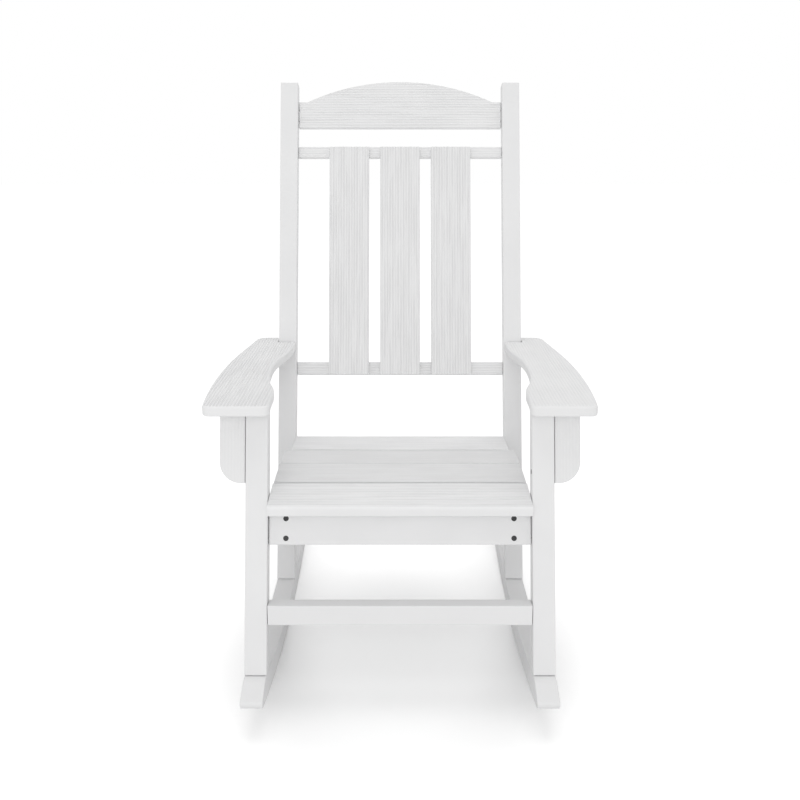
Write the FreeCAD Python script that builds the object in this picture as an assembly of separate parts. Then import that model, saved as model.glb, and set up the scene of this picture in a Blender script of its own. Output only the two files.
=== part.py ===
# Rocking adirondack chair of moulded plastic lumber.
# Millimetres, +Z up, the front faces -Y, right is +X as seen from the front.
# Side views are drawn as (y, z): y back from the foot of a front leg, z up from the floor.
# A leaning member has a frame of its own: x across the chair, w back through its depth
# from its front face, s up along its length.
import FreeCAD, Part
import math
import os

Vector = FreeCAD.Vector

# Stock
board = 19.05            # thickness of slats, arms, rails, crest, apron and brackets
slat_width = 88.9
stile_width = 38.9       # legs, posts and rockers, across the chair
leg_depth = 31.75
back_rail_thick = 12.7   # crest and back rails
post_depth = board + back_rail_thick
eased = 1.6              # rounding along the edges of every board
joint_gap = 0.4          # where two boards meet end to face
foot_gap = 0.9           # under a leg or post
foot_round = 1.5         # at the foot of a leg or post
slip = 1.2               # play at each end of a board between the side frames

# Side frames
inside_width = 462.8
leg_lean = 19.1
post_lean = 20.27
post_foot_y = 448.6
post_length = 1117.6

# Rockers
rocker_radius = 2000.0
rocker_depth = 40.6
rocker_low_y = 436.0     # the line that the chair stands on
nose_reach = 60.5        # ahead of the leg's foot
nose_start = 1.0         # the crown starts this far ahead of it
tail_reach = 394.0       # behind the lowest line
crown_radius = 30.0      # the nose turns over the crown
fall_radius = 560.0      # and then falls away
fall_start = 18.0        # degrees below level where the fall starts
tip_set_back = 8.5
tip_round = 6.0

# Seat: the tops of the slats, front to rear
seat_height = 383.4      # at the rear edge of the first slat
nose_rear_y = 165.1
nose_slope = 6.0
slat_front_y = [177.3, 269.5, 363.0, 459.8]
slat_front_drop = [2.0, 1.0, 9.4, 42.4]      # under the seat height
slat_slope = [-0.98, 4.3, 19.9, 2.5]         # degrees down to the rear
rear_slat_width = 98.0
nose_round = 6.0
nose_under_round = 2.5
apron_set_back = 11.7    # from the front of the legs
apron_height = 63.5
apron_drop = 84.3        # from the seat height to the foot of the apron
rail_thick = 38.1
rail_front_depth = 53.0  # under the nose of the first slat
rail_rear_depth = 60.0   # under the last slat
rail_run_on = 34.0       # beside the posts, past their front

# Front stretcher
stretcher_y = 31.4
stretcher_z = 170.9
stretcher_turn = 7.5
stretcher_depth = 31.75
stretcher_height = 35.3

# Arms and their brackets
arm_front_y = 111.4
arm_front_z = 545.3      # top face at the front
arm_fall = 1.2           # degrees down to the rear
arm_length = 566.6
# (x, y) out from the inner face of the side frame and back from the arm's front
arm_outer = [(107.9, 0.0), (114.9, 78.6), (118.9, 208.6), (114.1, 344.6), (99.1, 487.6)]
arm_outer_tail_x = 90.1
arm_inner = [(-8.5, 0.0), (-4.3, 70.0), (-1.7, 115.0), (13.5, 175.0), (20.8, 245.0),
             (21.9, 315.0), (15.1, 375.0), (5.8, 425.0), (1.9, 475.0)]
arm_inner_tail_x = 5.1
arm_corner = 12.0
arm_tail_corner = 24.0
arm_round = 4.0
bracket_width = 44.9
bracket_set_back = 5.0
bracket_drop = 243.4     # down the leg from the top of the arm
bracket_corner = 38.0
bracket_gap = 1.6        # beside the leg
notch_gap = 5.5          # in front of the post
notch_side_gap = 2.0     # beside it

# Back
back_slat_gap = 25.55
low_rail_foot = 453.8    # up the posts
low_rail_height = 28.8
top_rail_height = 24.8
slat_below_rail = 1.1
rail_above_slats = 5.5
slats_to_crest = 49.6
crest_side_height = 59.8
crest_rise = 47.3
crest_over_posts = 8.8
crest_shoulder_length = 19.0

# Corner angles that hold the arms
angle_arm = 30.0
angle_thick = 2.5
angle_width = 28.0
tab_angle_length = 26.0
angle_screw_inset = 8.0
angle_screw_run = 18.0   # from the bend

# Screws
head_diameter = 9.5
head_rim = 0.8
head_height = 3.8
shank_diameter = 4.6
socket_across = 3.6
socket_depth = 1.8
screw_play = 0.12
apron_screw_inset = 31.0  # from the legs
apron_screw_rise = (11.4, 46.0)
long_screw = 75.0
rail_screw = 60.0
slat_screw = 50.0
back_screw = 25.0
angle_screw = 15.0
slat_bite = 13.0         # how far a seat slat's screw goes into the slat
nose_screw_w = 55.0      # behind the nose of the first slat
seat_rail_screw_drop = (15.0, 38.0)  # under the last slat
foot_sink = 12.0
foot_spacing = 15.0
stretcher_spacing = 14.0
crest_screw_inset = 17.0
back_screw_spread = 44.0
bracket_screw_rise = (20.0, 85.0)
bracket_corner_clearance = 8.0  # from the round corner to a screw through the outer face

# Worked out
inner_x = inside_width / 2
outer_x = inner_x + stile_width
middle_x = inner_x + stile_width / 2
board_half = inner_x - slip
rocker_top_radius = rocker_radius - rocker_depth
apron_screw_x = inner_x - apron_screw_inset
back_slat_inner = slat_width / 2 + back_slat_gap
back_slat_foot = low_rail_foot - slat_below_rail
crest_peak = post_length + crest_over_posts
crest_shoulder = crest_peak - crest_rise
crest_foot = crest_shoulder - crest_side_height
back_slat_top = crest_foot - slats_to_crest
low_rail = (low_rail_foot, low_rail_foot + low_rail_height)
top_rail = (back_slat_top + rail_above_slats - top_rail_height, back_slat_top + rail_above_slats)
margin = 1.0             # that a cutting shape runs past what it cuts
member_foot_reach = leg_depth / 2    # the foot's edges lie this near its lowest point
arm_top_s = arm_front_z / math.cos(math.radians(leg_lean))
bracket_foot_s = arm_top_s - bracket_drop


def rad(degrees):
    return math.radians(degrees)


def rocker_line(radius, y):
    return rocker_radius - math.sqrt(radius ** 2 - (y - rocker_low_y) ** 2)


def frame(y, z, lean):
    return FreeCAD.Placement(Vector(0, y, z), FreeCAD.Rotation(Vector(1, 0, 0), -lean))


leg_frame = frame(0.0, rocker_line(rocker_top_radius, 0.0), leg_lean)
post_frame = frame(post_foot_y, rocker_line(rocker_top_radius, post_foot_y), post_lean)
apron_foot_s = (seat_height - apron_drop - leg_frame.Base.z
                + apron_set_back * math.sin(rad(leg_lean))) / math.cos(rad(leg_lean))
arm_frame = frame(arm_front_y, arm_front_z, arm_fall)      # w runs back along the top face


def side_vector(point):
    return Vector(0, point[0], point[1])


def placed(shape, where):
    moved = shape.copy()
    moved.Placement = where.multiply(moved.Placement)
    return moved


def block(where, x, w, s):
    box = Part.makeBox(x[1] - x[0], w[1] - w[0], s[1] - s[0], Vector(x[0], w[0], s[0]))
    return placed(box, where)


def runs_along(edge, direction):
    if len(edge.Vertexes) < 2:
        return False
    run = edge.Vertexes[1].Point - edge.Vertexes[0].Point
    return abs(run.normalize().dot(direction)) > 0.999


def rounded(shape, radius, directions):
    edges = [e for e in shape.Edges if any(runs_along(e, d) for d in directions)]
    return shape.makeFillet(radius, edges)


def eased_board(where, x, w, s, directions="xws", radius=eased):
    axes = {"x": Vector(1, 0, 0), "w": Vector(0, 1, 0), "s": Vector(0, 0, 1)}
    box = Part.makeBox(x[1] - x[0], w[1] - w[0], s[1] - s[0], Vector(x[0], w[0], s[0]))
    return placed(rounded(box, radius, [axes[d] for d in directions]), where)


def mirrored(shape):
    return shape.mirror(Vector(0, 0, 0), Vector(1, 0, 0))


def extruded_side(points, x0, x1):
    corners = [Vector(x0, y, z) for y, z in points]
    face = Part.Face(Part.makePolygon(corners + corners[:1]))
    return face.extrude(Vector(x1 - x0, 0, 0))


def above_rockers():
    # everything inside the rocker's top arc
    radius = rocker_top_radius - foot_gap
    start = Vector(inner_x - margin, rocker_low_y, rocker_radius)
    return Part.makeCylinder(radius, stile_width + 2 * margin, start, Vector(1, 0, 0))


def arm_space():
    # everything over the underside of the arms
    x = (0, outer_x + 2 * bracket_width)
    return block(arm_frame, x, (-arm_length, arm_length), (-board - joint_gap, arm_length))


def nose_arcs(start_y, forward, reach_y):
    # From the rocker's top arc over the crown and down to the tip; headings are in radians,
    # positive when the line rises.
    heading = math.asin(abs(rocker_low_y - start_y) / rocker_top_radius)
    point = Vector(0, start_y, rocker_line(rocker_top_radius, start_y))
    fall = -rad(fall_start)

    def step(origin, first, last, radius):
        run = radius * (math.sin(first) - math.sin(last))
        rise = radius * (math.cos(last) - math.cos(first))
        return origin + Vector(0, forward * run, rise)

    edges = []
    crown_end = step(point, heading, fall, crown_radius)
    crown_middle = step(point, heading, (heading + fall) / 2, crown_radius)
    edges.append(Part.Arc(point, crown_middle, crown_end).toShape())
    left = abs(reach_y - crown_end.y)
    last = math.asin(math.sin(fall) - left / fall_radius)
    tip = step(crown_end, fall, last, fall_radius)
    middle = step(crown_end, fall, (fall + last) / 2, fall_radius)
    edges.append(Part.Arc(crown_end, middle, tip).toShape())
    return edges, tip


def rocker():
    front_y = -nose_start
    tip_run = nose_reach + front_y
    tail_tip_y = rocker_low_y + tail_reach
    tail_y = tail_tip_y - tip_run
    nose, nose_tip = nose_arcs(front_y, -1, -nose_reach)
    tail, tail_tip = nose_arcs(tail_y, 1, tail_tip_y)

    def on_line(radius, y):
        return Vector(0, y, rocker_line(radius, y))

    under_front = on_line(rocker_radius, nose_tip.y + tip_set_back)
    under_rear = on_line(rocker_radius, tail_tip.y - tip_set_back)
    top = Part.Arc(on_line(rocker_top_radius, front_y), on_line(rocker_top_radius, rocker_low_y),
                   on_line(rocker_top_radius, tail_y)).toShape()
    under = Part.Arc(under_front, on_line(rocker_radius, rocker_low_y), under_rear).toShape()
    edges = [top] + nose + [Part.makeLine(nose_tip, under_front), under,
                            Part.makeLine(under_rear, tail_tip)] + tail
    wire = Part.Wire(Part.__sortEdges__(edges))
    wire.translate(Vector(inner_x, 0, 0))
    solid = Part.Face(wire).extrude(Vector(stile_width, 0, 0))
    tips = [nose_tip, under_front, under_rear, tail_tip]
    ends = [e for e in solid.Edges if runs_along(e, Vector(1, 0, 0))
            and any(abs(e.Vertexes[0].Y - t.y) < 0.01 for t in tips)]
    solid = solid.makeFillet(tip_round, ends)
    outline = [e for e in solid.Edges if not runs_along(e, Vector(1, 0, 0))]
    return solid.makeFillet(eased, outline)


def footed(member):
    # stands on the rocker's top arc, with the edges of its foot rounded
    member = member.common(above_rockers())
    low = min(v.Z for v in member.Vertexes)
    foot = [e for e in member.Edges if e.BoundBox.ZMax < low + member_foot_reach]
    return member.makeFillet(foot_round, foot)


def front_leg():
    leg = eased_board(leg_frame, (inner_x, outer_x), (0, leg_depth), (-leg_depth, arm_top_s), "s")
    return footed(leg).cut(arm_space())


def back_post():
    post = eased_board(post_frame, (inner_x, outer_x), (0, post_depth),
                       (-post_depth, post_length))
    return footed(post)


def arm():
    def outline_point(x, y):
        return Vector(inner_x + x, y, 0)

    outer = [outline_point(x, y) for x, y in arm_outer + [(arm_outer_tail_x, arm_length)]]
    notch = outline_point(arm_inner_tail_x, arm_length)
    inner = [outline_point(x, y) for x, y in arm_inner]
    outer_curve = Part.BSplineCurve()
    outer_curve.interpolate(outer)
    inner_curve = Part.BSplineCurve()
    inner_curve.interpolate(inner + [notch])
    wire = Part.Wire([Part.makeLine(inner[0], outer[0]), outer_curve.toShape(),
                      Part.makeLine(outer[-1], notch), inner_curve.toShape()])
    solid = Part.Face(wire).extrude(Vector(0, 0, -board))
    upright = [e for e in solid.Edges if runs_along(e, Vector(0, 0, 1))]
    front = [e for e in upright if abs(e.Vertexes[0].Y) < 0.01]
    solid = solid.makeFillet(arm_corner, front)
    tail = [e for e in solid.Edges if runs_along(e, Vector(0, 0, 1))
            and abs(e.Vertexes[0].X - outer[-1].x) < 0.01]
    solid = solid.makeFillet(arm_tail_corner, tail)
    rims = [e for e in solid.Edges if not runs_along(e, Vector(0, 0, 1))]
    solid = placed(solid.makeFillet(arm_round, rims), arm_frame)
    behind = block(post_frame, (0, outer_x + notch_side_gap), (-notch_gap, arm_length),
                   (0, post_length))
    return solid.cut(behind)


def arm_bracket():
    x = (outer_x + bracket_gap, outer_x + bracket_gap + bracket_width)
    w = (bracket_set_back, bracket_set_back + board)
    box = Part.makeBox(bracket_width, board, bracket_drop,
                       Vector(x[0], w[0], bracket_foot_s))
    corner = [e for e in box.Edges if runs_along(e, Vector(0, 1, 0))
              and e.Vertexes[0].X > x[1] - 1 and e.Vertexes[0].Z < bracket_foot_s + 1]
    box = box.makeFillet(bracket_corner, corner)
    rims = [e for e in box.Edges if not runs_along(e, Vector(0, 1, 0))]
    return placed(box.makeFillet(eased, rims), leg_frame).cut(arm_space())


def nose_frame():
    slope = rad(nose_slope)
    y = nose_rear_y - slat_width * math.cos(slope)
    z = seat_height - slat_width * math.sin(slope)
    return frame(y, z, -nose_slope)


def seat_frames():
    # the first slat's, then the others' from their front top edges
    widths = [slat_width] * 3 + [rear_slat_width]
    frames = [(nose_frame(), slat_width)]
    for y, drop, slope, width in zip(slat_front_y, slat_front_drop, slat_slope, widths):
        frames.append((frame(y, seat_height - drop, slope), width))
    return frames


def nose_slat():
    where = nose_frame()
    box = Part.makeBox(2 * board_half, slat_width, board, Vector(-board_half, 0, -board))
    front = [e for e in box.Edges if runs_along(e, Vector(1, 0, 0)) and e.Vertexes[0].Y < 1]
    box = box.makeFillet(nose_round, [e for e in front if e.Vertexes[0].Z > -1])
    under = [e for e in box.Edges if runs_along(e, Vector(1, 0, 0))
             and e.Vertexes[0].Y < 1 and e.Vertexes[0].Z < 1 - board]
    box = box.makeFillet(nose_under_round, under)
    rear = [e for e in box.Edges if runs_along(e, Vector(1, 0, 0))
            and e.Vertexes[0].Y > slat_width - 1]
    return placed(box.makeFillet(eased, rear), where)


def seat_slats():
    slats = [nose_slat()]
    for where, width in seat_frames()[1:]:
        slats.append(eased_board(where, (-board_half, board_half), (0, width), (-board, 0)))
    return slats


def slat_undersides():
    # each slat's underside in the side view, as two points
    lines = []
    for where, width in seat_frames():
        ends = [where.multVec(Vector(0, w, -board - joint_gap)) for w in (0, width)]
        lines.append([(e.y, e.z) for e in ends])
    return lines


def crossing(first, second):
    (y1, z1), (y2, z2) = first
    (y3, z3), (y4, z4) = second
    rise_a = (z2 - z1) / (y2 - y1)
    rise_b = (z4 - z3) / (y4 - y3)
    y = (z3 - z1 + rise_a * y1 - rise_b * y3) / (rise_a - rise_b)
    return (y, z1 + rise_a * (y - y1))


def seat_apron():
    w = (apron_set_back, apron_set_back + board)
    s = (apron_foot_s, apron_foot_s + apron_height)
    apron = eased_board(leg_frame, (-board_half, board_half), w, s)
    reach = 2 * slat_width
    seat_space = block(nose_frame(), (-inner_x, inner_x), (-reach, reach),
                       (-board - joint_gap, reach))
    return apron.cut(seat_space)


def seat_rail():
    # A board on edge whose top follows the slats. It runs from the apron's back to the posts.
    lines = slat_undersides()
    tops = [crossing(a, b) for a, b in zip(lines, lines[1:])]
    rear_y = lines[-1][1][0] + rail_run_on
    rise = (lines[-1][1][1] - lines[-1][0][1]) / (lines[-1][1][0] - lines[-1][0][0])
    rear_z = lines[-1][1][1] + rise * rail_run_on
    points = [lines[0][0]] + tops
    front_y, front_z = lines[0][0]
    points += [(rear_y, rear_z), (rear_y, rear_z - rail_rear_depth),
               (front_y, front_z - rail_front_depth)]
    rail = extruded_side(points, inner_x - joint_gap - rail_thick, inner_x - joint_gap)
    w = apron_set_back + board + joint_gap
    apron_space = block(leg_frame, (0, inner_x), (-leg_depth * 3, w), (0, post_length))
    return rail.cut(apron_space)


def front_stretcher():
    where = frame(stretcher_y, stretcher_z, stretcher_turn)
    return eased_board(where, (-board_half, board_half), (0, stretcher_depth),
                       (0, stretcher_height), "x")


def crest_rail():
    half = board_half
    shoulder = half - crest_shoulder_length
    w = board

    def corner(x, s):
        return Vector(x, w, s)

    arch = Part.Arc(corner(-shoulder, crest_shoulder), corner(0, crest_peak),
                    corner(shoulder, crest_shoulder)).toShape()
    left = Part.makePolygon([corner(-shoulder, crest_shoulder), corner(-half, crest_shoulder),
                             corner(-half, crest_foot), corner(half, crest_foot),
                             corner(half, crest_shoulder), corner(shoulder, crest_shoulder)])
    wire = Part.Wire(Part.__sortEdges__([arch] + left.Edges))
    solid = Part.Face(wire).extrude(Vector(0, back_rail_thick, 0))
    rims = [e for e in solid.Edges if not runs_along(e, Vector(0, 1, 0))]
    return placed(solid.makeFillet(eased, rims), post_frame)


def back_rail(span):
    half = inner_x - joint_gap
    return eased_board(post_frame, (-half, half), (board, post_depth), span)


def back_slat(x0):
    return eased_board(post_frame, (x0, x0 + slat_width), (0, board),
                       (back_slat_foot, back_slat_top))


def leg_angle():
    # A bent steel plate in the corner between the leg's back and the arm's underside.
    leg_back = leg_frame.multVec(Vector(0, leg_depth, 0))
    leg_up = leg_frame.Rotation.multVec(Vector(0, 0, 1))
    arm_under = arm_frame.multVec(Vector(0, 0, -board))
    arm_back = arm_frame.Rotation.multVec(Vector(0, 1, 0))
    start = crossing([(leg_back.y, leg_back.z), (leg_back.y + leg_up.y, leg_back.z + leg_up.z)],
                     [(arm_under.y, arm_under.z),
                      (arm_under.y + arm_back.y, arm_under.z + arm_back.z)])
    corner = side_vector(start)
    down = leg_up * -1
    bend = down.getAngle(arm_back)
    leg_normal = (arm_back - down * math.cos(bend)) * (1 / math.sin(bend))
    arm_normal = (down - arm_back * math.cos(bend)) * (1 / math.sin(bend))
    inside = corner + (down + arm_back) * (angle_thick / math.sin(bend))
    points = [corner, corner + down * angle_arm,
              corner + down * angle_arm + leg_normal * angle_thick, inside,
              corner + arm_back * angle_arm + arm_normal * angle_thick,
              corner + arm_back * angle_arm]
    x0 = middle_x - angle_width / 2
    plate = extruded_side([(p.y, p.z) for p in points], x0, x0 + angle_width)
    holes = []
    for side in (-1, 1):
        x = middle_x + side * (angle_width / 2 - angle_screw_inset)
        on_leg = corner + down * (angle_screw_run) + leg_normal * angle_thick
        on_arm = corner + arm_back * (angle_screw_run) + arm_normal * angle_thick
        holes.append((Vector(x, on_leg.y, on_leg.z), leg_normal * -1))
        holes.append((Vector(x, on_arm.y, on_arm.z), arm_normal * -1))
    return plate, holes


def tab_frame():
    # under the arm's tail, at the middle of the post's depth
    under = arm_frame.multVec(Vector(0, 0, -board))
    arm_back = arm_frame.Rotation.multVec(Vector(0, 1, 0))
    middle = post_frame.multVec(Vector(0, post_depth / 2, 0))
    post_up = post_frame.Rotation.multVec(Vector(0, 0, 1))
    y, z = crossing([(middle.y, middle.z), (middle.y + post_up.y, middle.z + post_up.z)],
                    [(under.y, under.z), (under.y + arm_back.y, under.z + arm_back.z)])
    return frame(y, z, arm_fall)


def tab_angle():
    # A steel angle between the post's outer face and the arm's tail.
    where = tab_frame()
    w = (-tab_angle_length / 2, tab_angle_length / 2)
    flat = block(where, (outer_x, outer_x + angle_arm), w, (-angle_thick, 0))
    upright = block(where, (outer_x, outer_x + angle_thick), w, (-angle_arm, 0))
    plate = flat.fuse(upright).removeSplitter()
    holes = []
    across = where.Rotation.multVec(Vector(0, 0, 1))
    for side in (-1, 1):
        shift = side * (tab_angle_length / 2 - angle_screw_inset)
        on_post = where.multVec(Vector(outer_x + angle_thick, shift, -angle_screw_run))
        on_arm = where.multVec(Vector(outer_x + angle_screw_run, shift, -angle_thick))
        holes.append((on_post, Vector(-1, 0, 0)))
        holes.append((on_arm, across))
    return plate, holes


def turned(profile, start, direction):
    points = [Vector(r, 0, h) for r, h in profile]
    face = Part.Face(Part.makePolygon(points + points[:1]))
    solid = face.revolve(Vector(0, 0, 0), Vector(0, 0, 1), 360)
    spin = FreeCAD.Rotation(Vector(0, 0, 1), direction)
    return placed(solid, FreeCAD.Placement(start, spin))


def screw(start, direction, length):
    # a flat head with a six-sided socket, flush at the start
    head = head_diameter / 2
    shank = shank_diameter / 2
    body = turned([(0, 0), (head, 0), (head, head_rim), (shank, head_height),
                   (shank, length - 2 * shank), (0, length)], start, direction)
    radius = socket_across / math.sqrt(3)
    corners = [Vector(radius * math.cos(rad(60 * k)), radius * math.sin(rad(60 * k)), 0)
               for k in range(7)]
    socket = Part.Face(Part.makePolygon(corners)).extrude(Vector(0, 0, socket_depth))
    spin = FreeCAD.Rotation(Vector(0, 0, 1), direction)
    return body.cut(placed(socket, FreeCAD.Placement(start, spin)))


def screw_hole(start, direction, length, sink):
    head = head_diameter / 2 + screw_play
    shank = shank_diameter / 2 + screw_play
    return turned([(0, -sink - 1), (head, -sink - 1), (head, head_rim + screw_play),
                   (shank, head_height + screw_play), (shank, length - 2 * shank + 2 * screw_play),
                   (0, length + screw_play)], start, direction)


def local(where, x, w, s):
    return where.multVec(Vector(x, w, s))


def turned_by(where, x, w, s):
    return where.Rotation.multVec(Vector(x, w, s))


# Each screw: the boards that it passes, where its head is flush, its direction, its length
# and how deep its head is sunk. They are given for the right side; most repeat on the left.
def side_screws(leg_plate, tab_plate):
    inward = Vector(-1, 0, 0)
    groups = {}

    front = local(leg_frame, apron_screw_x, apron_set_back, apron_foot_s)
    up = turned_by(leg_frame, 0, 0, 1)
    groups["apron_screws"] = [
        (["seat_apron", "seat_rail"], front + up * rise, turned_by(leg_frame, 0, 1, 0),
         rail_screw, 0) for rise in apron_screw_rise]

    apron_middle = apron_set_back + board / 2
    groups["apron_end_screws"] = [
        (["front_leg", "seat_apron"], local(leg_frame, outer_x, apron_middle, apron_foot_s + rise),
         inward, rail_screw, 0) for rise in apron_screw_rise]

    groups["seat_slat_screws"] = []
    for number, (where, width) in enumerate(seat_frames(), 1):
        w = width / 2 if number > 1 else nose_screw_w
        head = local(where, inner_x - joint_gap - rail_thick / 2, w, slat_bite - board - slat_screw)
        groups["seat_slat_screws"].append(
            (["seat_rail", "seat_slat_%d" % number], head, turned_by(where, 0, 0, 1),
             slat_screw, slat_screw))

    rail_z = slat_undersides()[-1][1][1]
    groups["seat_rail_screws"] = []
    for drop in seat_rail_screw_drop:
        s = (rail_z - drop - post_frame.Base.z) / math.cos(rad(post_lean))
        groups["seat_rail_screws"].append(
            (["back_post", "seat_rail"], local(post_frame, outer_x, post_depth / 2, s), inward,
             rail_screw, 0))

    bar = frame(stretcher_y, stretcher_z, stretcher_turn)
    groups["stretcher_screws"] = [
        (["front_leg", "front_stretcher"],
         local(bar, outer_x, stretcher_depth / 2, (stretcher_height + side * stretcher_spacing) / 2),
         inward, long_screw, 0) for side in (-1, 1)]

    for name, member, where, depth in (("leg_foot_screws", "front_leg", leg_frame, leg_depth),
                                       ("post_foot_screws", "back_post", post_frame, post_depth)):
        groups[name] = []
        for side in (-1, 1):
            w = depth / 2 + side * foot_spacing / 2
            foot = local(where, middle_x, w, foot_sink - rocker_depth)
            groups[name].append((["rocker", member], foot, turned_by(where, 0, 0, 1),
                                 long_screw, rocker_depth))

    groups["bracket_screws"] = [
        (["arm_bracket", "front_leg"],
         on_bracket(outer_x + bracket_gap + bracket_width, bracket_screw_rise[1]),
         inward, long_screw, 0)]

    rail_middle = board + back_rail_thick / 2
    rails = (("low", low_rail), ("top", top_rail))
    groups["back_rail_screws"] = [
        (["back_post", "back_rail_" + name],
         local(post_frame, outer_x, rail_middle, sum(span) / 2), inward, long_screw, 0)
        for name, span in rails]
    groups["crest_screws"] = [
        (["back_post", "crest_rail"], local(post_frame, outer_x, rail_middle, s), inward,
         long_screw, 0) for s in (crest_foot + crest_screw_inset, crest_shoulder - crest_screw_inset)]

    groups["arm_angle_screws"] = []
    for holes, plate, member in ((leg_plate, "arm_angle_front", "front_leg"),
                                 (tab_plate, "arm_angle_rear", "back_post")):
        for start, direction in holes:
            groups["arm_angle_screws"].append(
                ([plate, member, "arm"], start, direction, angle_screw, 0))
    return groups


def on_bracket(x, rise):
    # the place of a bracket screw's head, so far above the bracket's foot
    return local(leg_frame, x, bracket_set_back + board / 2, bracket_foot_s + rise)


def low_bracket_screws():
    # on the right from inside the leg, on the left from outside the bracket over its corner
    outside = -outer_x - bracket_gap - bracket_width
    return [(["front_leg_right", "arm_bracket_right"],
             on_bracket(inner_x, bracket_screw_rise[0]), Vector(1, 0, 0), rail_screw, 0),
            (["arm_bracket_left", "front_leg_left"],
             on_bracket(outside, bracket_corner + bracket_corner_clearance), Vector(1, 0, 0),
             long_screw, 0)]


def back_slat_screws():
    starts = {"left": -back_slat_inner - slat_width, "middle": -slat_width / 2,
              "right": back_slat_inner}
    screws = []
    for side, x0 in starts.items():
        for rail, span in (("low", low_rail), ("top", top_rail)):
            for shift in (-0.5, 0.5):
                x = x0 + slat_width / 2 + shift * back_screw_spread
                head = local(post_frame, x, post_depth, sum(span) / 2)
                screws.append((["back_rail_" + rail, "back_slat_" + side], head,
                               turned_by(post_frame, 0, -1, 0), back_screw, 0))
    return screws


def flipped(vector):
    return Vector(-vector.x, vector.y, vector.z)


def build():
    leg_plate, leg_holes = leg_angle()
    tab_plate, tab_holes = tab_angle()
    pairs = {
        "rocker": rocker(),
        "front_leg": front_leg(),
        "back_post": back_post(),
        "arm": arm(),
        "arm_bracket": arm_bracket(),
        "seat_rail": seat_rail(),
        "arm_angle_front": leg_plate,
        "arm_angle_rear": tab_plate,
    }
    parts = {}
    for name, shape in pairs.items():
        parts[name + "_left"] = mirrored(shape)
        parts[name + "_right"] = shape
    parts["seat_apron"] = seat_apron()
    parts["front_stretcher"] = front_stretcher()
    parts["crest_rail"] = crest_rail()
    parts["back_rail_low"] = back_rail(low_rail)
    parts["back_rail_top"] = back_rail(top_rail)
    parts["back_slat_left"] = back_slat(-back_slat_inner - slat_width)
    parts["back_slat_middle"] = back_slat(-slat_width / 2)
    parts["back_slat_right"] = back_slat(back_slat_inner)
    for number, slat in enumerate(seat_slats(), 1):
        parts["seat_slat_%d" % number] = slat

    holes = {name: [] for name in parts}
    groups = {}

    def drive(group, boards, start, direction, length, sink):
        groups.setdefault(group, []).append(screw(start, direction, length))
        hole = screw_hole(start, direction, length, sink)
        for name in boards:
            holes[name].append(hole)

    for group, screws in side_screws(leg_holes, tab_holes).items():
        for boards, start, direction, length, sink in screws:
            for side, flip in (("_left", flipped), ("_right", lambda v: v)):
                named = [b + side if b in pairs else b for b in boards]
                drive(group, named, flip(start), flip(direction), length, sink)
    for group, screws in (("bracket_screws", low_bracket_screws()),
                          ("back_slat_screws", back_slat_screws())):
        for boards, start, direction, length, sink in screws:
            drive(group, boards, start, direction, length, sink)

    for name, cutters in holes.items():
        near = [c for c in cutters if c.BoundBox.intersect(parts[name].BoundBox)]
        if near:
            parts[name] = parts[name].cut(near)
    for group, screws in groups.items():
        parts[group] = Part.makeCompound(screws)
    return parts


def main():
    parts = build()
    box = Part.makeCompound(list(parts.values())).optimalBoundingBox(False, False)
    to_origin = Vector(-(box.XMin + box.XMax) / 2, -(box.YMin + box.YMax) / 2, -box.ZMin)
    os.makedirs("parts", exist_ok=True)
    for name, shape in parts.items():
        shape.translate(to_origin)
        shape.exportStep("parts/%s.step" % name)
        print(name, len(shape.Solids), round(shape.Volume), shape.isValid())
    print("size", [round(v, 1) for v in (box.XLength, box.YLength, box.ZLength)], "shift",
          [round(v, 2) for v in to_origin])


main()
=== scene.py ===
import math
import bpy
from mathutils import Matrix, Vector

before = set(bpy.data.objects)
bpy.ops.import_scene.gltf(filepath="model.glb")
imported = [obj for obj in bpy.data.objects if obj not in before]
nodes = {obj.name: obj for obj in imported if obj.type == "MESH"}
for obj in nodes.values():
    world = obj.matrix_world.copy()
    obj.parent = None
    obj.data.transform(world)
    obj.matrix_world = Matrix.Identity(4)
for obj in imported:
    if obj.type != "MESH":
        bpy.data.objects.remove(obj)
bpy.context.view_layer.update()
print("frame loaded:", len(nodes), "boards, angles and screw sets")


# ---- node helpers

def newGroup(name, inputs, outputs):
    group = bpy.data.node_groups.new(name, "ShaderNodeTree")
    for label, kind, value in inputs:
        socket = group.interface.new_socket(label, in_out="INPUT", socket_type=kind)
        if value is not None:
            socket.default_value = value
    for label, kind in outputs:
        group.interface.new_socket(label, in_out="OUTPUT", socket_type=kind)
    return group, group.nodes.new("NodeGroupInput"), group.nodes.new("NodeGroupOutput")


def put(tree, socket, value):  # links a socket, or sets a number
    if isinstance(value, bpy.types.NodeSocket):
        tree.links.new(value, socket)
    else:
        socket.default_value = value


def math2(tree, operation, a, b=None, clamp=False):
    node = tree.nodes.new("ShaderNodeMath")
    node.operation = operation
    node.use_clamp = clamp
    put(tree, node.inputs[0], a)
    if b is not None:
        put(tree, node.inputs[1], b)
    return node.outputs[0]


def noise(tree, vector, scale, detail=1.0, rough=0.5):
    node = tree.nodes.new("ShaderNodeTexNoise")
    put(tree, node.inputs["Vector"], vector)
    put(tree, node.inputs["Scale"], scale)
    node.inputs["Detail"].default_value = detail
    node.inputs["Roughness"].default_value = rough
    return node.outputs["Fac"]


def stretched(tree, vector, factors):
    node = tree.nodes.new("ShaderNodeVectorMath")
    node.operation = "MULTIPLY"
    tree.links.new(vector, node.inputs[0])
    node.inputs[1].default_value = factors
    return node.outputs[0]


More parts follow.
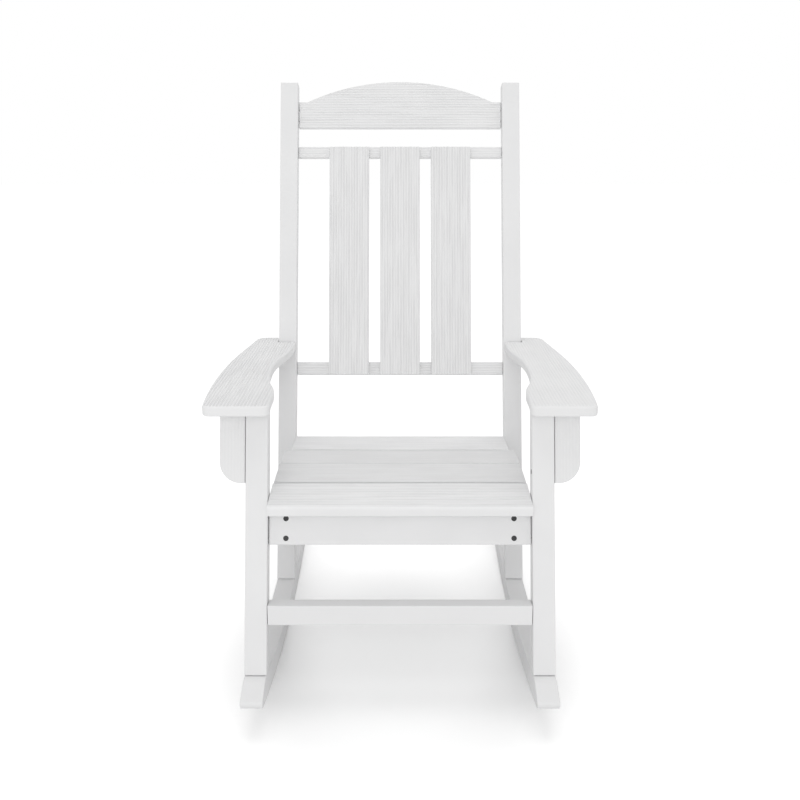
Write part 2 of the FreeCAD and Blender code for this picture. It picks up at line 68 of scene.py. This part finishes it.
def ranged(tree, value, low, high, toLow=0.0, toHigh=1.0, smooth=False):
    node = tree.nodes.new("ShaderNodeMapRange")
    node.interpolation_type = "SMOOTHSTEP" if smooth else "LINEAR"
    put(tree, node.inputs["Value"], value)
    ends = (("From Min", low), ("From Max", high), ("To Min", toLow), ("To Max", toHigh))
    for label, number in ends:
        put(tree, node.inputs[label], number)
    return node.outputs["Result"]


def mixed(tree, factor, first, second):
    node = tree.nodes.new("ShaderNodeMix")
    node.data_type = "RGBA"
    put(tree, node.inputs["Factor"], factor)
    put(tree, node.inputs["A"], first)
    put(tree, node.inputs["B"], second)
    return next(s for s in node.outputs if s.type == "RGBA" and s.enabled)


def upwards(tree, place):  # how far a face looks up, 1 for level
    split = tree.nodes.new("ShaderNodeSeparateXYZ")
    tree.links.new(place.outputs["Normal"], split.inputs[0])
    return split.outputs["Z"]


def bumped(tree, height, distance, below=None):
    node = tree.nodes.new("ShaderNodeBump")
    node.inputs["Distance"].default_value = distance
    tree.links.new(height, node.inputs["Height"])
    if below is not None:
        tree.links.new(below, node.inputs["Normal"])
    return node.outputs[0]


def newMaterial(name):
    material = bpy.data.materials.new(name)
    material.use_nodes = True
    tree = material.node_tree
    return material, tree, tree.nodes["Principled BSDF"]


def placedGroup(tree, group, **values):
    node = tree.nodes.new("ShaderNodeGroup")
    node.node_tree = group
    for label, value in values.items():
        put(tree, node.inputs[label.replace("_", " ")], value)
    return node


# ---- shared effects

# stretches are noise cells per metre along a board, across it and into it
grainPattern = {
    "driftStretch": (2.2, 16.0, 16.0),
    "driftDetail": 2.0,
    "gateStretch": (9.0, 150.0, 150.0),
    "gateRange": (0.32, 0.62),
    "fibreStretch": (22.0, 620.0, 620.0),
    "fibreDetail": 2.0,
    "fibreRough": 0.6,
    "grooveRange": (0.2, -1.1),      # heights where the painted shade in a groove starts and is full
}


def buildEmbossedGrain():
    # Lines pressed along a board: a sine across the board whose phase wanders with a long noise,
    # gated by a second long noise so that lines run out and start again, plus fine fibres.
    group, given, result = newGroup("embossedGrain", [
        ("Board Position", "NodeSocketVector", None),
        ("Face", "NodeSocketFloat", 1.0),
        ("Lines Per Metre", "NodeSocketFloat", 170.0),
        ("Wander", "NodeSocketFloat", 1.0),
        ("Breaks", "NodeSocketFloat", 0.85),
        ("Line Depth", "NodeSocketFloat", 1.0),
        ("Fibre Depth", "NodeSocketFloat", 0.5),
    ], [("Height", "NodeSocketFloat"), ("Groove Shade", "NodeSocketFloat")])
    position = given.outputs["Board Position"]
    pattern = grainPattern
    split = group.nodes.new("ShaderNodeSeparateXYZ")
    group.links.new(position, split.inputs[0])

    drift = noise(group, stretched(group, position, pattern["driftStretch"]), 1.0,
                  pattern["driftDetail"])
    phase = math2(group, "MULTIPLY", split.outputs["Y"], given.outputs["Lines Per Metre"])
    phase = math2(group, "ADD", phase, math2(group, "MULTIPLY", drift, given.outputs["Wander"]))
    lines = math2(group, "SINE", math2(group, "MULTIPLY", phase, 2 * math.pi))

    gate = noise(group, stretched(group, position, pattern["gateStretch"]), 1.0)
    gate = ranged(group, gate, *pattern["gateRange"], smooth=True)
    gate = math2(group, "MULTIPLY", math2(group, "SUBTRACT", 1.0, gate), given.outputs["Breaks"])
    gate = math2(group, "SUBTRACT", 1.0, gate)
    lines = math2(group, "MULTIPLY", lines, gate)
    lines = math2(group, "MULTIPLY", lines, given.outputs["Line Depth"])

    fibre = noise(group, stretched(group, position, pattern["fibreStretch"]), 1.0,
                  pattern["fibreDetail"], pattern["fibreRough"])
    fibre = math2(group, "SUBTRACT", fibre, 0.5)
    fibre = math2(group, "MULTIPLY", fibre, given.outputs["Fibre Depth"])

    height = math2(group, "MULTIPLY", math2(group, "ADD", lines, fibre), given.outputs["Face"])
    group.links.new(height, result.inputs["Height"])
    # this output says where painted shade darkens the hollows of the lines
    group.links.new(ranged(group, height, *pattern["grooveRange"]), result.inputs["Groove Shade"])
    return group


mottlePattern = {
    "cloudDetail": 3.0,
    "cloudRange": (0.3, 0.7),
}


def buildMouldedMottle():
    # soft cloudiness of a moulded plastic skin, with a fine pebble on top
    group, given, result = newGroup("mouldedMottle", [
        ("Position", "NodeSocketVector", None),
        ("Cloud Scale", "NodeSocketFloat", 9.0),
        ("Pebble Scale", "NodeSocketFloat", 900.0),
    ], [("Cloud", "NodeSocketFloat"), ("Pebble", "NodeSocketFloat")])
    position = given.outputs["Position"]
    cloud = noise(group, position, given.outputs["Cloud Scale"], mottlePattern["cloudDetail"])
    cloud = ranged(group, cloud, *mottlePattern["cloudRange"], smooth=True)
    group.links.new(cloud, result.inputs["Cloud"])
    pebble = noise(group, position, given.outputs["Pebble Scale"])
    group.links.new(pebble, result.inputs["Pebble"])
    return group


dustPattern = {
    "patchScale": 34.0,
    "patchDetail": 4.0,
    "patchRough": 0.65,
    "patchRange": (0.42, 0.72),
    "upRange": (0.2, 0.95),          # how far a face looks up, from no dust to all of it
}


def buildRestingDust():
    # dust settles where a face looks up, in patches
    group, given, result = newGroup("restingDust", [
        ("Position", "NodeSocketVector", None),
        ("Up", "NodeSocketFloat", 0.0),
        ("Amount", "NodeSocketFloat", 0.1),
    ], [("Dust", "NodeSocketFloat")])
    pattern = dustPattern
    patch = noise(group, given.outputs["Position"], pattern["patchScale"],
                  pattern["patchDetail"], pattern["patchRough"])
    patch = ranged(group, patch, *pattern["patchRange"], smooth=True)
    up = ranged(group, given.outputs["Up"], *pattern["upRange"])
    dust = math2(group, "MULTIPLY", patch, up)
    dust = math2(group, "MULTIPLY", dust, given.outputs["Amount"], clamp=True)
    group.links.new(dust, result.inputs["Dust"])
    return group


embossedGrain = buildEmbossedGrain()
mouldedMottle = buildMouldedMottle()
restingDust = buildRestingDust()
print("shared effects built")


# ---- white lumber

lumberLook = {
    "skin": (0.83, 0.83, 0.832),
    "skinDeep": (0.812, 0.812, 0.815),           # where the mottle is full
    # colour of the painted shade in the grooves
    "groove": (0.66, 0.66, 0.668, 1.0),
    "grooveShadeStrength": 0.5,
    "roughness": (0.46, 0.60),                   # clear skin, clouded skin
    "specular": 0.35,
    "linesPerMetre": 170.0,
    "grainDistance": 0.00032,                    # metres
    "pebbleDistance": 0.00004,
    "broadRange": (0.90, 0.995),                 # how squarely a face looks the broad way
    "patternShift": (0.731, 0.27047, 0.08041),   # metres from one board's pattern to the next
    "dust": (0.70, 0.69, 0.67, 1.0),
    "dustAmount": 0.05,
}

# embossing: depth of the lines, depth of the fibres, how far lines wander, how much they break
embossings = {
    "smooth": (0.0, 0.2, 1.0, 0.85),
    "faint": (0.15, 0.2, 1.0, 0.85),
    "rocker": (0.5, 0.4, 1.0, 0.85),
    "seat rail": (0.6, 0.4, 1.0, 0.85),
    "deep arm": (1.7, 0.4, 0.35, 0.35),
    "shallow arm": (0.6, 0.3, 0.35, 0.6),
    "crest": (1.2, 0.4, 0.7, 0.7),
    "back rail": (0.8, 0.4, 0.7, 0.7),
    "back slat": (1.3, 0.4, 0.6, 0.7),
    "seat slat": (1.3, 0.6, 0.8, 0.75),
}

boards = {
    # board: lean of its frame in degrees, long way, broad way, embossing, and a scale on its
    # skin colour that paints light and shade: above 1 paints light, below 1 paints shade
    "rocker": (0.0, "y", "x", "rocker", 1.0),
    "front_leg": (19.1, "z", "x", "smooth", 1.0),
    "back_post": (20.27, "z", "x", "smooth", 1.012),
    "arm_left": (1.2, "y", "z", "deep arm", 1.045),
    "arm_right": (1.2, "y", "z", "shallow arm", 1.015),
    "arm_bracket": (19.1, "z", "y", "faint", 1.0),
    "seat_rail": (0.0, "y", "x", "seat rail", 1.0),
    "seat_apron": (19.1, "x", "y", "smooth", 1.0),
    "front_stretcher": (7.5, "x", "y", "smooth", 1.0),
    "crest_rail": (20.27, "x", "y", "crest", 1.012),
    "back_rail_low": (20.27, "x", "y", "back rail", 1.02),
    "back_rail_top": (20.27, "x", "y", "back rail", 1.03),
    "back_slat_left": (20.27, "z", "y", "back slat", 1.0),
    "back_slat_middle": (20.27, "z", "y", "back slat", 1.0),
    "back_slat_right": (20.27, "z", "y", "back slat", 1.0),
    # painted shade darkens seat slats 2 and 3 between the arms, painted light brightens the nose
    # slat and the rear slat
    "seat_slat_1": (-6.0, "x", "z", "seat slat", 1.045),
    "seat_slat_2": (-0.98, "x", "z", "seat slat", 0.968),
    "seat_slat_3": (4.3, "x", "z", "seat slat", 0.965),
    "seat_slat_4": (19.9, "x", "z", "seat slat", 1.0),
    "seat_slat_5": (2.5, "x", "z", "seat slat", 1.07),
}


def boardPosition(tree, place, lean, runs, face, row):
    # the position along the board, across it and into it, in the board's leaning frame
    turn = tree.nodes.new("ShaderNodeMapping")
    turn.inputs["Rotation"].default_value = (math.radians(lean), 0.0, 0.0)
    turn.inputs["Location"].default_value = [
        step * row for step in lumberLook["patternShift"]]
    tree.links.new(place.outputs["Object"], turn.inputs["Vector"])
    split = tree.nodes.new("ShaderNodeSeparateXYZ")
    tree.links.new(turn.outputs[0], split.inputs[0])
    join = tree.nodes.new("ShaderNodeCombineXYZ")
    across = ({"x", "y", "z"} - {runs, face}).pop()
    for axis, socket in ((runs, 0), (across, 1), (face, 2)):
        tree.links.new(split.outputs[axis.upper()], join.inputs[socket])
    return join.outputs[0]


def broadFaces(tree, place, lean, face):  # 1 on the board's two broad faces, 0 on its edges
    turn = math.radians(lean)
    ways = {"x": (1.0, 0.0, 0.0), "y": (0.0, math.cos(turn), -math.sin(turn)),
            "z": (0.0, math.sin(turn), math.cos(turn))}
    facing = tree.nodes.new("ShaderNodeVectorMath")
    facing.operation = "DOT_PRODUCT"
    tree.links.new(place.outputs["Normal"], facing.inputs[0])
    facing.inputs[1].default_value = ways[face]
    squarely = math2(tree, "ABSOLUTE", facing.outputs["Value"])
    return ranged(tree, squarely, *lumberLook["broadRange"], smooth=True)


def lumber(name, row, lean, runs, face, embossing, paintedLightAndShade):
    look = lumberLook
    lineDepth, fibreDepth, wander, breaks = embossings[embossing]
    material, tree, shader = newMaterial(name)
    place = tree.nodes.new("ShaderNodeTexCoord")
    position = boardPosition(tree, place, lean, runs, face, row)
    grain = placedGroup(tree, embossedGrain, Board_Position=position,
                        Face=broadFaces(tree, place, lean, face),
                        Lines_Per_Metre=look["linesPerMetre"], Wander=wander,
                        Breaks=breaks, Line_Depth=lineDepth, Fibre_Depth=fibreDepth)
    mottle = placedGroup(tree, mouldedMottle, Position=position)
    dust = placedGroup(tree, restingDust, Position=place.outputs["Object"],
                       Up=upwards(tree, place), Amount=look["dustAmount"])

    # the skin colours are scaled per board, which paints light and shade into them
    skin, skinDeep = ([c * paintedLightAndShade for c in look[k]] + [1.0] for k in ("skin", "skinDeep"))
    colour = mixed(tree, mottle.outputs["Cloud"], skin, skinDeep)
    # painted shade darkens the grooves of the embossing
    paintedGrooveShade = math2(tree, "MULTIPLY", grain.outputs["Groove Shade"], look["grooveShadeStrength"], clamp=True)
    colour = mixed(tree, paintedGrooveShade, colour, look["groove"])
    colour = mixed(tree, dust.outputs["Dust"], colour, look["dust"])
    tree.links.new(colour, shader.inputs["Base Color"])
    tree.links.new(ranged(tree, mottle.outputs["Cloud"], 0.0, 1.0, *look["roughness"]),
                   shader.inputs["Roughness"])
    shader.inputs["Specular IOR Level"].default_value = look["specular"]

    pebble = bumped(tree, mottle.outputs["Pebble"], look["pebbleDistance"])
    pressed = bumped(tree, grain.outputs["Height"], look["grainDistance"], pebble)
    tree.links.new(pressed, shader.inputs["Normal"])
    return material


def cover(node, material):
    piece = nodes[node]
    piece.data.materials.clear()
    piece.data.materials.append(material)


count = 0
for board, values in boards.items():
    members = [n for n in (board, board + "_left", board + "_right") if n in nodes]
    for member in members:
        count += 1
        cover(member, lumber("lumber " + member.replace("_", " "), count, *values))
print("lumber on", count, "boards")


# ---- black steel

steelLook = {
    "coat": (0.012, 0.012, 0.013, 1.0),
    "scuffed": (0.05, 0.05, 0.052, 1.0),
    "scuffing": 0.4,
    "roughness": (0.34, 0.55),
    "pebbleDistance": 0.00006,
    "screwScales": (160.0, 2600.0),  # mottle and pebble, cells per metre
    "angleScales": (60.0, 1500.0),
    "dust": (0.35, 0.34, 0.33, 1.0),
    "dustAmount": 0.06,
}


def blackSteel(name, cloudScale, pebbleScale):
    look = steelLook
    material, tree, shader = newMaterial(name)
    place = tree.nodes.new("ShaderNodeTexCoord")
    mottle = placedGroup(tree, mouldedMottle, Position=place.outputs["Object"],
                         Cloud_Scale=cloudScale, Pebble_Scale=pebbleScale)
    dust = placedGroup(tree, restingDust, Position=place.outputs["Object"],
                       Up=upwards(tree, place), Amount=look["dustAmount"])
    scuff = math2(tree, "MULTIPLY", mottle.outputs["Cloud"], look["scuffing"])
    colour = mixed(tree, scuff, look["coat"], look["scuffed"])
    colour = mixed(tree, dust.outputs["Dust"], colour, look["dust"])
    tree.links.new(colour, shader.inputs["Base Color"])
    tree.links.new(ranged(tree, mottle.outputs["Cloud"], 0.0, 1.0, *look["roughness"]),
                   shader.inputs["Roughness"])
    tree.links.new(bumped(tree, mottle.outputs["Pebble"], look["pebbleDistance"]),
                   shader.inputs["Normal"])
    return material


screwCoat = blackSteel("black coated screws", *steelLook["screwScales"])
angleCoat = blackSteel("black powder coat", *steelLook["angleScales"])
for name in nodes:
    if name.endswith("_screws"):
        cover(name, screwCoat)
    elif name.startswith("arm_angle"):
        cover(name, angleCoat)
print("black steel on screws and angles")


# ---- floor, light and camera

studio = {
    "floorSize": 24.0,
    "floorSeen": (1.0, 1.0, 1.0, 1.0),
    # the floor's own light, seen and not cast: the lift grows outwards from the front legs,
    # the fill lightens the shadow between the rockers; reaches are in metres
    "liftMiddle": (0.0, -0.25, 0.0),
    "liftSpread": (1.25, 1.0, 1.0),  # it grows sooner to the sides
    "liftReach": (0.20, 0.60),
    "lift": (0.07, 0.32),
    "fillMiddle": (0.0, -0.08, 0.0),
    "fillSpread": (2.2, 1.0, 1.0),
    "fillReach": (0.60, 0.30),
    "fill": (0.0, 0.10),
    # what the floor gives back to the chair, from under it to around it
    "bounceMiddle": (0.0, 0.0, 0.0),
    "bounceSpread": (1.0, 1.0, 1.0),
    "bounceReach": (0.30, 0.75),
    "bounceUnder": (0.75, 0.75, 0.75, 1.0),
    "bounceAround": (0.95, 0.95, 0.95, 1.0),
    "skyColour": (1.0, 1.0, 1.0, 1.0),
    "skyLight": 0.70,
    "lamps": [
        # name, place, size, watts
        ("softbox front", (-0.4, -4.2, 1.7), 3.0, 35.0),
        ("softbox over", (0.0, 0.2, 5.0), 3.5, 42.0),
    ],
    "aim": (0.0, 0.0, 0.55),
}


def backgroundRays(tree):  # 1 for a ray that shows the background, 0 for one that gathers light
    path = tree.nodes.new("ShaderNodeLightPath")
    seen = math2(tree, "MAXIMUM", path.outputs["Is Camera Ray"], path.outputs["Is Glossy Ray"])
    return math2(tree, "MAXIMUM", seen, path.outputs["Is Transmission Ray"])


def awayFrom(tree, part, low=0.0, high=1.0):  # low near the part's middle, high away from it
    place = tree.nodes.new("ShaderNodeTexCoord")
    away = tree.nodes.new("ShaderNodeVectorMath")
    away.operation = "DISTANCE"
    spread = stretched(tree, place.outputs["Object"], studio[part + "Spread"])
    tree.links.new(spread, away.inputs[0])
    away.inputs[1].default_value = studio[part + "Middle"]
    return ranged(tree, away.outputs["Value"], *studio[part + "Reach"], low, high, smooth=True)


def buildFloor():
    half = studio["floorSize"] / 2
    mesh = bpy.data.meshes.new("studio floor")
    corners = [(-half, -half, 0), (half, -half, 0), (half, half, 0), (-half, half, 0)]
    mesh.from_pydata(corners, [], [(0, 1, 2, 3)])
    floor = bpy.data.objects.new("studio floor", mesh)
    bpy.context.scene.collection.objects.link(floor)
    material, tree, _ = newMaterial("pale studio floor")
    tree.nodes.clear()
    output = tree.nodes.new("ShaderNodeOutputMaterial")
    seen = tree.nodes.new("ShaderNodeBsdfDiffuse")
    seen.inputs["Color"].default_value = studio["floorSeen"]
    glow = tree.nodes.new("ShaderNodeEmission")
    strength = math2(tree, "ADD", awayFrom(tree, "lift", *studio["lift"]),
                     awayFrom(tree, "fill", *studio["fill"]))
    tree.links.new(strength, glow.inputs["Strength"])
    both = tree.nodes.new("ShaderNodeAddShader")
    tree.links.new(seen.outputs[0], both.inputs[0])
    tree.links.new(glow.outputs[0], both.inputs[1])
    bounce = tree.nodes.new("ShaderNodeBsdfDiffuse")
    given = mixed(tree, awayFrom(tree, "bounce"), studio["bounceUnder"], studio["bounceAround"])
    tree.links.new(given, bounce.inputs["Color"])
    choose = tree.nodes.new("ShaderNodeMixShader")
    tree.links.new(backgroundRays(tree), choose.inputs["Fac"])
    tree.links.new(bounce.outputs[0], choose.inputs[1])
    tree.links.new(both.outputs[0], choose.inputs[2])
    tree.links.new(choose.outputs[0], output.inputs["Surface"])
    mesh.materials.append(material)


def buildSky():
    world = bpy.data.worlds.new("white room")
    world.use_nodes = True
    bpy.context.scene.world = world
    tree = world.node_tree
    tree.nodes.clear()
    output = tree.nodes.new("ShaderNodeOutputWorld")
    light = tree.nodes.new("ShaderNodeBackground")
    light.inputs["Strength"].default_value = studio["skyLight"]
    light.inputs["Color"].default_value = studio["skyColour"]
    white = tree.nodes.new("ShaderNodeBackground")
    white.inputs["Color"].default_value = studio["skyColour"]
    choose = tree.nodes.new("ShaderNodeMixShader")
    tree.links.new(backgroundRays(tree), choose.inputs["Fac"])
    tree.links.new(light.outputs[0], choose.inputs[1])
    tree.links.new(white.outputs[0], choose.inputs[2])
    tree.links.new(choose.outputs[0], output.inputs["Surface"])


def buildLamps():
    aim = Vector(studio["aim"])
    for name, place, size, watts in studio["lamps"]:
        light = bpy.data.lights.new(name, "AREA")
        light.shape = "DISK"
        light.size = size
        light.energy = watts
        lamp = bpy.data.objects.new(name, light)
        lamp.location = place
        lamp.rotation_euler = (aim - Vector(place)).to_track_quat("-Z", "Y").to_euler()
        bpy.context.scene.collection.objects.link(lamp)


cameraPlace = {
    "lens": 42.75,                   # 950 pixels on a frame of 800
    "sensor": 36.0,
    "down": 17.0,                    # degrees
    "behindFront": -1.84137,
    "height": 1.03005,
}


def buildCamera():
    data = bpy.data.cameras.new("camera")
    data.lens = cameraPlace["lens"]
    data.sensor_width = cameraPlace["sensor"]
    camera = bpy.data.objects.new("camera", data)
    camera.location = (0.0, cameraPlace["behindFront"], cameraPlace["height"])
    camera.rotation_euler = (math.radians(90.0 - cameraPlace["down"]), 0.0, 0.0)
    bpy.context.scene.collection.objects.link(camera)
    bpy.context.scene.camera = camera


buildFloor()
buildSky()
buildLamps()
buildCamera()
bpy.context.scene.view_settings.view_transform = "Standard"
print("floor, light and camera in place")
